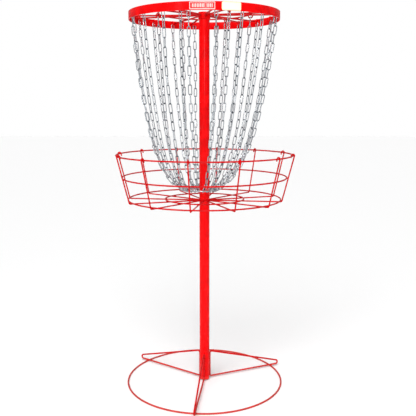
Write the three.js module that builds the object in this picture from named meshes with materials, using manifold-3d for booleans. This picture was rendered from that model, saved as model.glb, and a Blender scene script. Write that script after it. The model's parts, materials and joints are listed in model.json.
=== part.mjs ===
// A portable disc golf basket: a ring base, a pole in sections, a wire basket, and a hoop of hanging chains.
// Millimetres, +Z up. The origin is on the ground, on the pole's axis, and the front faces -Y.
// Bearings are degrees from the front, seen from above, growing towards +X.
import * as THREE from "three";
import { mergeVertices } from "three/addons/utils/BufferGeometryUtils.js";
import Module from "manifold-3d";

const wasm = await Module();
wasm.setup();

// ---- Driving dimensions --------------------------------------------------------------------------

const GAP = 0.3; // between pieces that rest on, or are welded to, each other
const SLIP_FIT = 0.3; // radial clearance of a pole section in its socket

// Ring base
const BASE_RING_RADIUS = 296;
const BASE_ROD_RADIUS = 3.175;
const LOOP_COUNT = 3;
const LOOP_FIRST_BEARING = -6;
const LOOP_REACH = 329; // the outermost point of a base loop
const LOOP_RISE = 14; // between a loop's two legs at its outer end
const LOOP_BEND = 7;
const LOOP_BUTT = 0.6; // the open joint where a loop's two ends meet
const BASE_TUBE_BOTTOM = 5;
const BASE_TUBE_TOP = 114;

// Pole
const POLE_RADIUS = 19;
const POLE_WALL = 2;
const SPIGOT_LENGTH = 60;
const SOCKET_DEPTH = 70;
const SOCKET_WALL = 3.15; // between the hub's spigot and the upper pole's socket
const SOCKET_LEDGE = 4; // the ledge at the socket's foot that the upper pole stands on
const HUB_BELOW_SPOKES = 17;
const HUB_ABOVE_SPOKES = 22;

// Wire basket
const BASKET_BEARING = -9; // the wire next to the front
const BASKET_WIRES = 12;
const WIRE_RADIUS = 2.5;
const HOOP_WIRE_RADIUS = 2.75;
const RIM_RADIUS = 325;
const BASKET_DEPTH = 164; // from the lower hoop up to the rim
const LOWER_HOOP_RADIUS = 283;
const LOWER_HOOP_HEIGHT = 713;
const FLOOR_RING_RADIUS = 146;
const HOOK_TAIL = 10;

// Chain head
const BAND_RADIUS = 270; // outside
const BAND_THICKNESS = 3;
const BAND_ABOVE_RIM = 479;
const BAND_HEIGHT = 28;
const EYE_RADIUS = 7.5;
const EYE_WIRE_RADIUS = 2.25;
const EYE_WELD_DEPTH = 1.75; // how far an outer eye is sunk in the band's wall
const OUTER_CHAINS = 18;
const OUTER_CHAIN_BEARING = 9;
const INNER_CHAINS = 6;
const INNER_CHAIN_BEARING = 31;
const INNER_EYE_CIRCLE = 165;
const INNER_RING_WIRE_RADIUS = 2.5;
const ARM_COUNT = 6;
const ARM_ROD_RADIUS = 3;
const ARM_HALF_WIDTH = 6; // from an arm's middle line to its leg at the cap
const ARM_BEND = 5.4;
const ARM_EYE_SPACE = 11; // between an arm's leg and the outer eye beside it
const CAP_WALL = 2.45;
const CAP_SKIRT = 22;
const CAP_TOP_WALL = 3;

// Chains
const OUTER_SLACK = 1.0375; // a chain's length over the straight line from its eye to a centred ring
const INNER_SLACK = 1.012;
const STRAND_RADIUS = 3;
const STRAND_END_GAP = 3; // lets a strand turn clear of its eye and the collector ring
const COLLECTOR_RADIUS = 56;
const COLLECTOR_WIRE_RADIUS = 2.5;
const COLLECTOR_ABOVE_HUB = 17.5;
const COLLECTOR_ASIDE = -12; // the ring hangs a little to the left of the pole
const FIRST_FOOT_BEARING = 7; // the chains' feet stand evenly round the ring, in the order of their eyes

// Plates on the band
const PLATE_GAP = 0.3;
const PLATE_THICKNESS = 1;
const PLATE_MARGIN = 2;
const NAME_PLATE_WIDTH = 83;
const NAME_PLATE_BEARING = -1;
const LABEL_WIDTH = 66;
const LABEL_BEARING = 19.3;
const LABEL_THICKNESS = 0.5;

// Fineness
const HOOP_SEGMENTS = 48;
const BAND_SEGMENTS = 72;
const TUBE_SEGMENTS = 24;
const COLLECTOR_SEGMENTS = 30;
const BEND_STEP = THREE.MathUtils.degToRad(31);
const STRAND_STEPS = 10;

// ---- Sizes that follow ---------------------------------------------------------------------------

const BORE_RADIUS = POLE_RADIUS - POLE_WALL;
const SPIGOT_RADIUS = BORE_RADIUS - SLIP_FIT;
const HOOK_BEND = HOOP_WIRE_RADIUS + WIRE_RADIUS + GAP;
const RIM_HEIGHT = LOWER_HOOP_HEIGHT + BASKET_DEPTH;
const SPOKE_HEIGHT = LOWER_HOOP_HEIGHT - HOOK_BEND;
const HUB_BOTTOM = SPOKE_HEIGHT - HUB_BELOW_SPOKES;
const HUB_TOP = SPOKE_HEIGHT + HUB_ABOVE_SPOKES;
const SOCKET_RADIUS = SPIGOT_RADIUS - SOCKET_WALL;
const UPPER_SPIGOT_RADIUS = SOCKET_RADIUS - SLIP_FIT;
const SOCKET_FLOOR = HUB_TOP - SOCKET_DEPTH;
const SIDE_LEAN = Math.atan2(RIM_RADIUS - LOWER_HOOP_RADIUS, BASKET_DEPTH);
const MIDDLE_HOOP_RADIUS = (LOWER_HOOP_RADIUS + RIM_RADIUS) / 2;
const MIDDLE_HOOP_HEIGHT = (LOWER_HOOP_HEIGHT + RIM_HEIGHT) / 2;
const BAND_BOTTOM = RIM_HEIGHT + BAND_ABOVE_RIM;
const BAND_TOP = BAND_BOTTOM + BAND_HEIGHT;
const BAND_INSIDE = BAND_RADIUS - BAND_THICKNESS;
const EYE_HEIGHT = BAND_TOP - EYE_RADIUS - EYE_WIRE_RADIUS - GAP;
const EYE_FOOT = EYE_HEIGHT - EYE_RADIUS;
const OUTER_EYE_CIRCLE = BAND_INSIDE + EYE_WELD_DEPTH - EYE_RADIUS - EYE_WIRE_RADIUS;
const INNER_RING_HEIGHT = EYE_HEIGHT + EYE_RADIUS;
const ARM_HEIGHT = INNER_RING_HEIGHT - INNER_RING_WIRE_RADIUS - GAP - ARM_ROD_RADIUS;
const ARM_HALF_SPREAD = OUTER_EYE_CIRCLE * Math.sin(Math.PI / OUTER_CHAINS) - ARM_EYE_SPACE;
const COLLECTOR_HEIGHT = HUB_TOP + COLLECTOR_ABOVE_HUB;
const ARM_BEARING = OUTER_CHAIN_BEARING + 180 / OUTER_CHAINS; // midway between two outer eyes
const COLLECTOR_PLACE = new THREE.Vector3(COLLECTOR_ASIDE, 0, COLLECTOR_HEIGHT);
const CAP_RADIUS = POLE_RADIUS + GAP + CAP_WALL;
const CAP_TOP = BAND_TOP + CAP_TOP_WALL;
const CAP_BOTTOM = CAP_TOP - CAP_TOP_WALL - CAP_SKIRT;

// ---- Materials -----------------------------------------------------------------------------------

const redPowderCoat = () => new THREE.MeshStandardMaterial({ color: 0xf00a0c, roughness: 0.35, metalness: 0.1 });
const zincSteel = () => new THREE.MeshStandardMaterial({ color: 0xa9b0b8, roughness: 0.4, metalness: 0.9 });
const redPlate = () => new THREE.MeshStandardMaterial({ color: 0xe21a1c, roughness: 0.3, metalness: 0.3 });
const creamPaper = () => new THREE.MeshStandardMaterial({ color: 0xf6e2bd, roughness: 0.7, metalness: 0 });

// ---- Helpers -------------------------------------------------------------------------------------

function mesh(name, geometry, material) {
  const piece = new THREE.Mesh(geometry, material);
  piece.name = name;
  return piece;
}

/** The level direction that a bearing points in. */
function outward(bearing) {
  const angle = THREE.MathUtils.degToRad(bearing - 90);
  return new THREE.Vector3(Math.cos(angle), Math.sin(angle), 0);
}

/** A group whose +X points along a bearing. */
function facing(bearing, ...pieces) {
  const group = new THREE.Group();
  group.rotation.z = THREE.MathUtils.degToRad(bearing - 90);
  group.add(...pieces);
  return group;
}

/** A polygon with the given number of sides, as [x, y] corners, the first turned by half a side if flat. */
function polygon(radius, sides, flat = false) {
  const half = Math.PI / sides;
  const reach = flat ? radius / Math.cos(half) : radius;
  return Array.from({ length: sides }, (_, i) => {
    const angle = 2 * half * i + (flat ? half : 0);
    return [reach * Math.cos(angle), reach * Math.sin(angle)];
  });
}

/** A solid of revolution about Z from a closed outline of [radius, height] corners, counter-clockwise. */
function turned(outline, segments) {
  const points = [...outline, outline[0]].map(([r, z]) => new THREE.Vector2(r, z));
  return new THREE.LatheGeometry(points, segments).rotateX(Math.PI / 2);
}

/** A round-wire hoop about Z. */
function hoop(radius, height, wireRadius, segments = HOOP_SEGMENTS, sides = 6, flat = false) {
  const outline = polygon(wireRadius, sides, flat).map(([x, y]) => [radius + x, height + y]);
  return turned(outline, segments);
}

/** A path given by stations, each a point and the direction there; an extrusion meets every station. */
class StationPath extends THREE.Curve {
  constructor(stations) {
    super();
    this.stations = stations;
  }

  get steps() {
    return this.stations.length - 1;
  }

  getUtoTmapping(u) {
    return u;
  }

  blend(t, key) {
    const place = THREE.MathUtils.clamp(t * this.steps, 0, this.steps);
    const before = Math.min(Math.floor(place), this.steps - 1);
    return this.stations[before][key].clone().lerp(this.stations[before + 1][key], place - before);
  }

  getPoint(t) {
    return this.blend(t, "point");
  }

  getTangent(t) {
    return this.blend(t, "direction").normalize();
  }
}

/** The centre line of a bent rod: straight runs between corners [x, y, z, bend radius]. */
function bentRod(corners) {
  const at = corners.map(([x, y, z]) => new THREE.Vector3(x, y, z));
  const run = (i) => at[i + 1].clone().sub(at[i]).normalize();
  const stations = [{ point: at[0], direction: run(0) }];
  for (let i = 1; i < at.length - 1; i++) {
    const before = run(i - 1);
    const after = run(i);
    const turn = before.angleTo(after);
    const bend = corners[i][3];
    const inward = after.clone().addScaledVector(before, -Math.cos(turn)).normalize();
    const start = at[i].clone().addScaledVector(before, -bend * Math.tan(turn / 2));
    const steps = Math.ceil(turn / BEND_STEP);
    for (let k = 0; k <= steps; k++) {
      const angle = (turn * k) / steps;
      const point = start.clone().addScaledVector(before, bend * Math.sin(angle));
      point.addScaledVector(inward, bend * (1 - Math.cos(angle)));
      const direction = before.clone().multiplyScalar(Math.cos(angle));
      direction.addScaledVector(inward, Math.sin(angle));
      if (stations.at(-1).point.distanceTo(point) > GAP) stations.push({ point, direction });
    }
  }
  stations.push({ point: at.at(-1), direction: run(at.length - 2) });
  return new StationPath(stations);
}

/** A rod of the given radius along a path of stations. */
function rod(path, radius, sides = 6) {
  const section = new THREE.Shape(polygon(radius, sides).map(([x, y]) => new THREE.Vector2(x, y)));
  return new THREE.ExtrudeGeometry(section, { steps: path.steps, extrudePath: path });
}

/** The manifold-3d solid of a closed geometry. */
function solid(geometry) {
  const bare = geometry.index ? geometry.toNonIndexed() : geometry.clone();
  bare.deleteAttribute("normal");
  bare.deleteAttribute("uv");
  const merged = mergeVertices(bare, 1e-3);
  const vertProperties = new Float32Array(merged.attributes.position.array);
  const triVerts = new Uint32Array(merged.index.array);
  return new wasm.Manifold(new wasm.Mesh({ numProp: 3, vertProperties, triVerts }));
}

/** One geometry from overlapping closed geometries. */
function welded(geometries) {
  const joined = geometries.map(solid).reduce((whole, next) => whole.add(next)).getMesh();
  const geometry = new THREE.BufferGeometry();
  geometry.setAttribute("position", new THREE.BufferAttribute(new Float32Array(joined.vertProperties), 3));
  geometry.setIndex(new THREE.BufferAttribute(new Uint32Array(joined.triVerts), 1));
  return geometry;
}

// ---- Ring base -----------------------------------------------------------------------------------

function baseRing() {
  const ring = hoop(BASE_RING_RADIUS, BASE_ROD_RADIUS, BASE_ROD_RADIUS, HOOP_SEGMENTS, 8, true);
  return mesh("base_ring", ring, redPowderCoat());
}

/** A rod bent to a closed triangle that stands on the base ring and lies up the base tube. */
function baseLoop(number) {
  const inside = POLE_RADIUS + GAP + BASE_ROD_RADIUS;
  const outside = LOOP_REACH - BASE_ROD_RADIUS;
  const low = 2 * BASE_ROD_RADIUS + GAP + BASE_ROD_RADIUS;
  const high = BASE_TUBE_TOP - 1;
  const meeting = (low + high) / 2;
  const path = bentRod([
    [inside, 0, meeting + LOOP_BUTT / 2],
    [inside, 0, high, LOOP_BEND],
    [outside, 0, low + LOOP_RISE, LOOP_BEND],
    [outside, 0, low, LOOP_BEND],
    [inside, 0, low, LOOP_BEND],
    [inside, 0, meeting - LOOP_BUTT / 2],
  ]);
  return mesh(`base_loop_${number}`, rod(path, BASE_ROD_RADIUS), redPowderCoat());
}

function baseTube() {
  const outline = [
    [BORE_RADIUS, BASE_TUBE_BOTTOM],
    [POLE_RADIUS, BASE_TUBE_BOTTOM],
    [POLE_RADIUS, BASE_TUBE_TOP],
    [BORE_RADIUS, BASE_TUBE_TOP],
  ];
  return mesh("base_tube", turned(outline, TUBE_SEGMENTS), redPowderCoat());
}

function base() {
  const group = new THREE.Group();
  group.add(baseRing(), baseTube());
  for (let i = 0; i < LOOP_COUNT; i++) {
    group.add(facing(LOOP_FIRST_BEARING + (360 / LOOP_COUNT) * i, baseLoop(i + 1)));
  }
  return group;
}

// ---- Pole ----------------------------------------------------------------------------------------

/** The lower pole, drawn down to a spigot that drops into the base tube. */
function lowerPole() {
  const shoulder = BASE_TUBE_TOP + GAP;
  const foot = shoulder - SPIGOT_LENGTH;
  const top = HUB_BOTTOM - GAP;
  const outline = [
    [SPIGOT_RADIUS - POLE_WALL, foot],
    [SPIGOT_RADIUS, foot],
    [SPIGOT_RADIUS, shoulder],
    [POLE_RADIUS, shoulder],
    [POLE_RADIUS, top],
    [BORE_RADIUS, top],
    [BORE_RADIUS, shoulder + POLE_WALL],
    [SPIGOT_RADIUS - POLE_WALL, shoulder + POLE_WALL],
  ];
  return mesh("lower_pole", turned(outline, TUBE_SEGMENTS), redPowderCoat());
}

/** The basket's hub: a socket for the upper pole, with its own spigot fixed in the lower pole. */
function basketHub() {
  const foot = SOCKET_FLOOR - SOCKET_LEDGE;
  const outline = [
    [SOCKET_RADIUS - SOCKET_LEDGE, foot],
    [SPIGOT_RADIUS, foot],
    [SPIGOT_RADIUS, HUB_BOTTOM],
    [POLE_RADIUS, HUB_BOTTOM],
    [POLE_RADIUS, HUB_TOP],
    [SOCKET_RADIUS, HUB_TOP],
    [SOCKET_RADIUS, SOCKET_FLOOR],
    [SOCKET_RADIUS - SOCKET_LEDGE, SOCKET_FLOOR],
  ];
  return mesh("basket_hub", turned(outline, TUBE_SEGMENTS), redPowderCoat());
}

/** The pole that carries the chain head, drawn down to a spigot that stands in the hub's socket. */
function upperPole() {
  const foot = SOCKET_FLOOR + GAP;
  const shoulder = HUB_TOP + GAP;
  const top = CAP_TOP - CAP_TOP_WALL - GAP;
  const outline = [
    [UPPER_SPIGOT_RADIUS - POLE_WALL, foot],
    [UPPER_SPIGOT_RADIUS, foot],
    [UPPER_SPIGOT_RADIUS, shoulder],
    [POLE_RADIUS, shoulder],
    [POLE_RADIUS, top],
    [BORE_RADIUS, top],
    [BORE_RADIUS, shoulder + POLE_WALL],
    [UPPER_SPIGOT_RADIUS - POLE_WALL, shoulder + POLE_WALL],
  ];
  return mesh("upper_pole", turned(outline, TUBE_SEGMENTS), redPowderCoat());
}

// ---- Wire basket ---------------------------------------------------------------------------------

/** One wire: a hook over the rim, the leaning side, a bend under the lower hoop, and a spoke to the hub. */
function basketWire(number) {
  const up = [Math.sin(SIDE_LEAN), Math.cos(SIDE_LEAN)];
  const out = [Math.cos(SIDE_LEAN), -Math.sin(SIDE_LEAN)];
  const fromRim = (outward, upward) => [
    RIM_RADIUS + out[0] * outward + up[0] * upward,
    0,
    RIM_HEIGHT + out[1] * outward + up[1] * upward,
    HOOK_BEND,
  ];
  const side = fromRim(HOOK_BEND, 0);
  const corner = side[0] - (side[2] - SPOKE_HEIGHT) * Math.tan(SIDE_LEAN);
  const path = bentRod([
    fromRim(-HOOK_BEND, -HOOK_TAIL),
    fromRim(-HOOK_BEND, HOOK_BEND),
    fromRim(HOOK_BEND, HOOK_BEND),
    [corner, 0, SPOKE_HEIGHT, HOOK_BEND],
    [POLE_RADIUS + GAP, 0, SPOKE_HEIGHT],
  ]);
  return mesh(`basket_wire_${number}`, rod(path, WIRE_RADIUS), redPowderCoat());
}

function wireBasket() {
  const floorRingHeight = SPOKE_HEIGHT + WIRE_RADIUS + GAP + WIRE_RADIUS;
  const basket = facing(
    BASKET_BEARING,
    mesh("basket_rim", hoop(RIM_RADIUS, RIM_HEIGHT, HOOP_WIRE_RADIUS), redPowderCoat()),
    mesh("middle_hoop", hoop(MIDDLE_HOOP_RADIUS, MIDDLE_HOOP_HEIGHT, HOOP_WIRE_RADIUS), redPowderCoat()),
    mesh("lower_hoop", hoop(LOWER_HOOP_RADIUS, LOWER_HOOP_HEIGHT, HOOP_WIRE_RADIUS), redPowderCoat()),
    mesh("floor_ring", hoop(FLOOR_RING_RADIUS, floorRingHeight, WIRE_RADIUS), redPowderCoat()),
  );
  for (let i = 0; i < BASKET_WIRES; i++) {
    const wire = basketWire(i + 1);
    wire.rotation.z = (2 * Math.PI * i) / BASKET_WIRES;
    basket.add(wire);
  }
  return basket;
}

// ---- Chain head ----------------------------------------------------------------------------------

/** An upright wire eye in the plane of its bearing, its centre on a circle of the given radius. */
function eye(circle, bearing) {
  const ring = new THREE.TorusGeometry(EYE_RADIUS, EYE_WIRE_RADIUS, 5, 8);
  ring.rotateX(Math.PI / 2).translate(circle, 0, EYE_HEIGHT);
  return ring.rotateZ(THREE.MathUtils.degToRad(bearing - 90));
}

function eyes(circle, count, firstBearing) {
  return Array.from({ length: count }, (_, i) => eye(circle, firstBearing + (360 / count) * i));
}

/** The flat hoop at the top, with an eye welded inside it for each outer chain. */
function chainBand() {
  const outline = [
    [BAND_INSIDE, BAND_BOTTOM],
    [BAND_RADIUS, BAND_BOTTOM],
    [BAND_RADIUS, BAND_TOP],
    [BAND_INSIDE, BAND_TOP],
  ];
  const outerEyes = eyes(OUTER_EYE_CIRCLE, OUTER_CHAINS, OUTER_CHAIN_BEARING);
  return mesh("chain_band", welded([turned(outline, BAND_SEGMENTS), ...outerEyes]), redPowderCoat());
}

/** The wire ring that lies on the arms, with an eye under it for each inner chain. */
function innerEyeRing() {
  const ring = hoop(INNER_EYE_CIRCLE, INNER_RING_HEIGHT, INNER_RING_WIRE_RADIUS, HOOP_SEGMENTS, 5);
  const innerEyes = eyes(INNER_EYE_CIRCLE, INNER_CHAINS, INNER_CHAIN_BEARING);
  return mesh("inner_eye_ring", welded([ring, ...innerEyes]), redPowderCoat());
}

/** A hairpin of rod: bent against the cap, its two legs spreading to the band. */
function headArm(number) {
  const inside = CAP_RADIUS + GAP + ARM_ROD_RADIUS;
  const outside = Math.sqrt(BAND_INSIDE ** 2 - ARM_HALF_SPREAD ** 2) - ARM_ROD_RADIUS;
  const path = bentRod([
    [outside, -ARM_HALF_SPREAD, ARM_HEIGHT],
    [inside, -ARM_HALF_WIDTH, ARM_HEIGHT, ARM_BEND],
    [inside, ARM_HALF_WIDTH, ARM_HEIGHT, ARM_BEND],
    [outside, ARM_HALF_SPREAD, ARM_HEIGHT],
  ]);
  return mesh(`head_arm_${number}`, rod(path, ARM_ROD_RADIUS), redPowderCoat());
}

/** The cap welded over the upper pole's top. */
function headCap() {
  const bore = POLE_RADIUS + GAP;
  const profile = [
    [0, CAP_TOP - CAP_TOP_WALL],
    [bore, CAP_TOP - CAP_TOP_WALL],
    [bore, CAP_BOTTOM],
    [CAP_RADIUS, CAP_BOTTOM],
    [CAP_RADIUS, CAP_TOP],
    [0, CAP_TOP],
  ].map(([r, z]) => new THREE.Vector2(r, z));
  const cap = new THREE.LatheGeometry(profile, TUBE_SEGMENTS).rotateX(Math.PI / 2);
  return mesh("head_cap", cap, redPowderCoat());
}

/** A thin curved plate on the band's outside. */
function bandPlate(name, width, bearing, thickness, material) {
  const inner = BAND_RADIUS + PLATE_GAP;
  const outer = inner + thickness;
  const half = width / 2 / BAND_RADIUS;
  const outline = new THREE.Shape();
  outline.absarc(0, 0, outer, -half, half, false);
  outline.absarc(0, 0, inner, half, -half, true);
  const height = BAND_HEIGHT - 2 * PLATE_MARGIN;
  const curveSegments = 6;
  const geometry = new THREE.ExtrudeGeometry(outline, { depth: height, bevelEnabled: false, curveSegments });
  geometry.translate(0, 0, BAND_BOTTOM + PLATE_MARGIN);
  return facing(bearing, mesh(name, geometry, material));
}

// ---- Chains --------------------------------------------------------------------------------------

/** Solves sinh(x) / x = ratio for x, by halving. */
function catenaryParameter(ratio) {
  let low = 1e-6;
  let high = 20;
  for (let i = 0; i < 60; i++) {
    const middle = (low + high) / 2;
    if (Math.sinh(middle) / middle < ratio) low = middle;
    else high = middle;
  }
  return (low + high) / 2;
}

/**
 * A chain of the given length hanging from a point across and up from its foot at the origin, as stations
 * evenly spaced along it. By arc length s from the curve's lowest point, the catenary with parameter a
 * is x = a asinh(s / a) and z = sqrt(a a + s s).
 */
function hangingPath(across, rise, length, lowGap, highGap) {
  const half = catenaryParameter(Math.sqrt(length ** 2 - rise ** 2) / across);
  const a = across / (2 * half);
  const start = a * Math.sinh(Math.atanh(rise / length) - half);
  const stations = Array.from({ length: STRAND_STEPS + 1 }, (_, i) => {
    const s = start + lowGap + ((length - lowGap - highGap) * i) / STRAND_STEPS;
    const x = a * (Math.asinh(s / a) - Math.asinh(start / a));
    const z = Math.hypot(a, s) - Math.hypot(a, start);
    return { point: new THREE.Vector3(x, 0, z), direction: new THREE.Vector3(a, 0, s).normalize() };
  });
  return new StationPath(stations);
}

/** A strand that stands for one chain, from its eye to its foot on the collector ring. */
function strand({ name, circle, slack, bearing }, footBearing) {
  const foot = outward(footBearing).multiplyScalar(COLLECTOR_RADIUS).add(COLLECTOR_PLACE);
  const across = outward(bearing).multiplyScalar(circle).sub(foot).setZ(0);
  const rise = EYE_FOOT - COLLECTOR_HEIGHT;
  const length = slack * Math.hypot(circle - COLLECTOR_RADIUS, rise);
  const lowGap = COLLECTOR_WIRE_RADIUS + STRAND_END_GAP;
  const highGap = EYE_WIRE_RADIUS + STRAND_END_GAP;
  const path = hangingPath(across.length(), rise, length, lowGap, highGap);
  const piece = mesh(name, rod(path, STRAND_RADIUS), zincSteel());
  piece.rotation.z = Math.atan2(across.y, across.x);
  piece.position.copy(foot);
  return piece;
}

/** What sets each chain of one kind: its name, its eye and its slack. */
function chainKind(kind, count, circle, slack, firstBearing) {
  return Array.from({ length: count }, (_, i) => {
    return { name: `${kind}_chain_${i + 1}`, circle, slack, bearing: firstBearing + (360 / count) * i };
  });
}

function chains() {
  const outer = chainKind("outer", OUTER_CHAINS, OUTER_EYE_CIRCLE, OUTER_SLACK, OUTER_CHAIN_BEARING);
  const inner = chainKind("inner", INNER_CHAINS, INNER_EYE_CIRCLE, INNER_SLACK, INNER_CHAIN_BEARING);
  const inOrder = [...outer, ...inner].sort((one, other) => one.bearing - other.bearing);
  const footStep = 360 / inOrder.length;
  const group = new THREE.Group();
  group.add(...inOrder.map((kind, i) => strand(kind, FIRST_FOOT_BEARING + footStep * i)));
  return group;
}

/** The ring that gathers the chains' lower ends round the pole. */
function collectorRing() {
  const wire = hoop(COLLECTOR_RADIUS, 0, COLLECTOR_WIRE_RADIUS, COLLECTOR_SEGMENTS);
  const ring = mesh("collector_ring", wire, zincSteel());
  ring.position.copy(COLLECTOR_PLACE);
  return ring;
}

function chainHead() {
  const head = new THREE.Group();
  head.add(headCap(), chainBand(), innerEyeRing(), collectorRing(), chains());
  for (let i = 0; i < ARM_COUNT; i++) {
    head.add(facing(ARM_BEARING + (360 / ARM_COUNT) * i, headArm(i + 1)));
  }
  head.add(bandPlate("name_plate", NAME_PLATE_WIDTH, NAME_PLATE_BEARING, PLATE_THICKNESS, redPlate()));
  head.add(bandPlate("band_label", LABEL_WIDTH, LABEL_BEARING, LABEL_THICKNESS, creamPaper()));
  return head;
}

// ---- The whole basket ----------------------------------------------------------------------------

const discGolfBasket = new THREE.Group();
discGolfBasket.add(base(), lowerPole(), basketHub(), upperPole(), wireBasket(), chainHead());

export default discGolfBasket;
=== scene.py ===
"""Surfaces, finishes, light and camera of a portable disc golf basket, built round its CAD frame.

Metres, +Z up, the origin on the ground on the pole's axis, the front facing -Y. A bearing is an angle
from the front, growing towards +X. Like pieces are drawn once in a bearing's own frame, where +X points
outwards, +Y sideways and +Z up, and are then turned to each bearing.
"""

import json
import math

import bpy
import numpy as np
from bpy.props import FloatProperty, FloatVectorProperty, IntProperty, PointerProperty
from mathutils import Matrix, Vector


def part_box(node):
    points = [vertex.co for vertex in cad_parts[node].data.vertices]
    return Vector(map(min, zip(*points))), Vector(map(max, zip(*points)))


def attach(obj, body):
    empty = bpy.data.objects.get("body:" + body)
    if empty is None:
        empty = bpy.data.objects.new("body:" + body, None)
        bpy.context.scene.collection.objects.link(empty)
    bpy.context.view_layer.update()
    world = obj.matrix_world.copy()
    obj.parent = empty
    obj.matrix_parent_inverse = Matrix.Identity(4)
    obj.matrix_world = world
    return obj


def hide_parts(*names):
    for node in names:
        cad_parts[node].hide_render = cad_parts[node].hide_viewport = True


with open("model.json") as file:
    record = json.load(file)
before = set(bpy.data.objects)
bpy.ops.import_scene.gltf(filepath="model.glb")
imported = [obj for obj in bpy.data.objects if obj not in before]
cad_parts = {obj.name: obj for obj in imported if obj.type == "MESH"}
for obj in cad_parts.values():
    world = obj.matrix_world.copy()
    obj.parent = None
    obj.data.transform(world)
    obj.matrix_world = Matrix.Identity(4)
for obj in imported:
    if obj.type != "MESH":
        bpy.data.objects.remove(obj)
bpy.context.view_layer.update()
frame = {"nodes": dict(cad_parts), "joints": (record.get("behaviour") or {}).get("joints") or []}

bl_info = {
    "name": "Disc Golf Basket",
    "version": (1, 0, 0),
    "blender": (4, 5, 0),
    "location": "3D View > Sidebar > Disc Basket",
    "description": "Builds a portable disc golf basket with its ring base, head and hanging chains",
    "category": "Object",
}

MM = 0.001
AXIS = np.array([0.0, 0.0, 1.0])
SIDEWAYS = np.array([0.0, 1.0, 0.0])
SLACK_NOTE = "Chain's length over its distance to a centred ring"

# ---- Colours and sizes a user would change ----


def to_linear(colour):
    """Linear RGBA of an sRGB hex colour: c / 12.92, or ((c + 0.055) / 1.055) ^ 2.4."""
    srgb = np.array([int(colour[i : i + 2], 16) for i in (1, 3, 5)]) / 255
    linear = np.where(srgb <= 0.04045, srgb / 12.92, ((srgb + 0.055) / 1.055) ** 2.4)
    return (*linear.tolist(), 1.0)


def length(name, description, default, scale=MM):
    """A length, by default in millimetres."""
    kind = {"subtype": "DISTANCE", "unit": "LENGTH"}
    return FloatProperty(name=name, description=description, default=default * scale, **kind)


def degrees(name, description, default):
    return FloatProperty(name=name, description=description, default=math.radians(default), subtype="ANGLE")


def plain(name, description, default, **limits):
    """A plain number."""
    return FloatProperty(name=name, description=description, default=default, **limits)


def colour(name, description, default):
    kind = {"size": 4, "subtype": "COLOR", "min": 0, "max": 1}
    return FloatVectorProperty(name=name, description=description, default=to_linear(default), **kind)


class BasketSizes(bpy.types.PropertyGroup):
    """Sizes of rod, wire, sheet and weld that the frame's boxes don't give."""

    gap: length("Gap", "Room between pieces that rest on each other", 0.3)
    wall: length("Pole wall", "Wall of the pole's tubes", 2)
    edge: length("Edge rounding", "Rounding of cut tube and sheet edges", 0.7)
    base_rod: length("Base rod", "Diameter of the rod in the ring base", 6.35)
    loop_bend: length("Loop bend", "Bend radius of the base loops", 7)
    loop_rise: length("Loop rise", "Height between a base loop's two legs at its outer end", 14)
    wire: length("Basket wire", "Diameter of the basket's wires", 5)
    hook_tail: length("Hook tail", "Straight end of a wire's hook inside the rim", 10)
    arm_rod: length("Arm rod", "Diameter of the head's arms", 6)
    arm_bend: length("Arm bend", "Bend radius of an arm where it meets the cap", 5.4)
    arm_width: length("Arm width", "Width of an arm's bend at the cap, between its legs' middle lines", 12)
    eye: length("Eye", "Radius of a chain eye's middle line", 7.5)
    eye_wire: length("Eye wire", "Diameter of a chain eye's wire", 4.5)
    inner_ring_wire: length("Inner ring wire", "Diameter of the ring that carries the inner eyes", 5)
    weld: length("Weld", "Half length of an ordinary weld bead", 3.6)


class ChainSizes(bpy.types.PropertyGroup):
    """Sizes of the chains and of how they hang."""

    wire: length("Link wire", "Diameter of a link's wire", 3.3)
    width: length("Link width", "Outside width of a link", 13.5)
    outer_links: IntProperty(name="Outer links", description="Links in each outer chain", default=22, min=4)
    inner_links: IntProperty(name="Inner links", description="Links in each inner chain", default=21, min=4)
    outer_slack: plain("Outer slack", SLACK_NOTE, 1.0375, min=1.001)
    inner_slack: plain("Inner slack", SLACK_NOTE, 1.012, min=1.001)
    roll: degrees("Roll", "How far a link may roll from square", 14)
    sway: length("Sway", "How far a chain may hang off its plane", 2.2)
    seed: IntProperty(name="Seed", description="Start of the links' random rolls and sways", default=7)


class PlateSizes(bpy.types.PropertyGroup):
    """Sizes of the name plate and the paper label on the band."""

    plate_height: length("Plate height", "Height of the embossed plate", 25)
    plate_corner: length("Plate corner", "Corner radius of the embossed plate", 3)
    relief: length("Relief", "Height of the plate's raised border and ribs", 0.7)
    border: length("Border", "Width of the plate's raised border", 1.9)
    rib_pitch: length("Rib pitch", "Distance from one raised rib to the next", 5.2)
    label_height: length("Label height", "Height of the paper label", 27)
    label_corner: length("Label corner", "Corner radius of the paper label", 5)


class Finishes(bpy.types.PropertyGroup):
    """Colours of the finishes."""

    red: colour("Red", "Powder coat", "#EA0306")
    deep_red: colour("Deep red", "Powder coat where it is thinner", "#D00205")
    # Painted shade: the wire reds are the coat's red made deeper, standing in for the shade on thin rods
    # and wires.
    shaded_wire_red: colour("Wire red", "Powder coat on rod and wire", "#C80205")
    shaded_deep_wire_red: colour("Deep wire red", "Powder coat on rod and wire where it is thinner", "#AE0104")
    dust: colour("Dust", "Dust on the coat near the ground", "#B98A7C")
    zinc: colour("Zinc", "Bright zinc plating", "#D5DADF")
    # Dull zinc is both dulled plating and the painted shade where links meet.
    dull_and_shaded_zinc: colour("Dull zinc", "Zinc where links rub and where it has dulled", "#3E4750")
    rubbed: colour("Rubbed", "Raised faces of the plate where the paint is rubbed pale", "#F7DAD4")
    cream: colour("Cream", "Label paper", "#FFEFD2")
    cream_edge: colour("Cream edge", "Label paper at its edges", "#F3D9A9")
    floor: colour("Floor", "Studio floor", "#F7F7F7")


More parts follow.
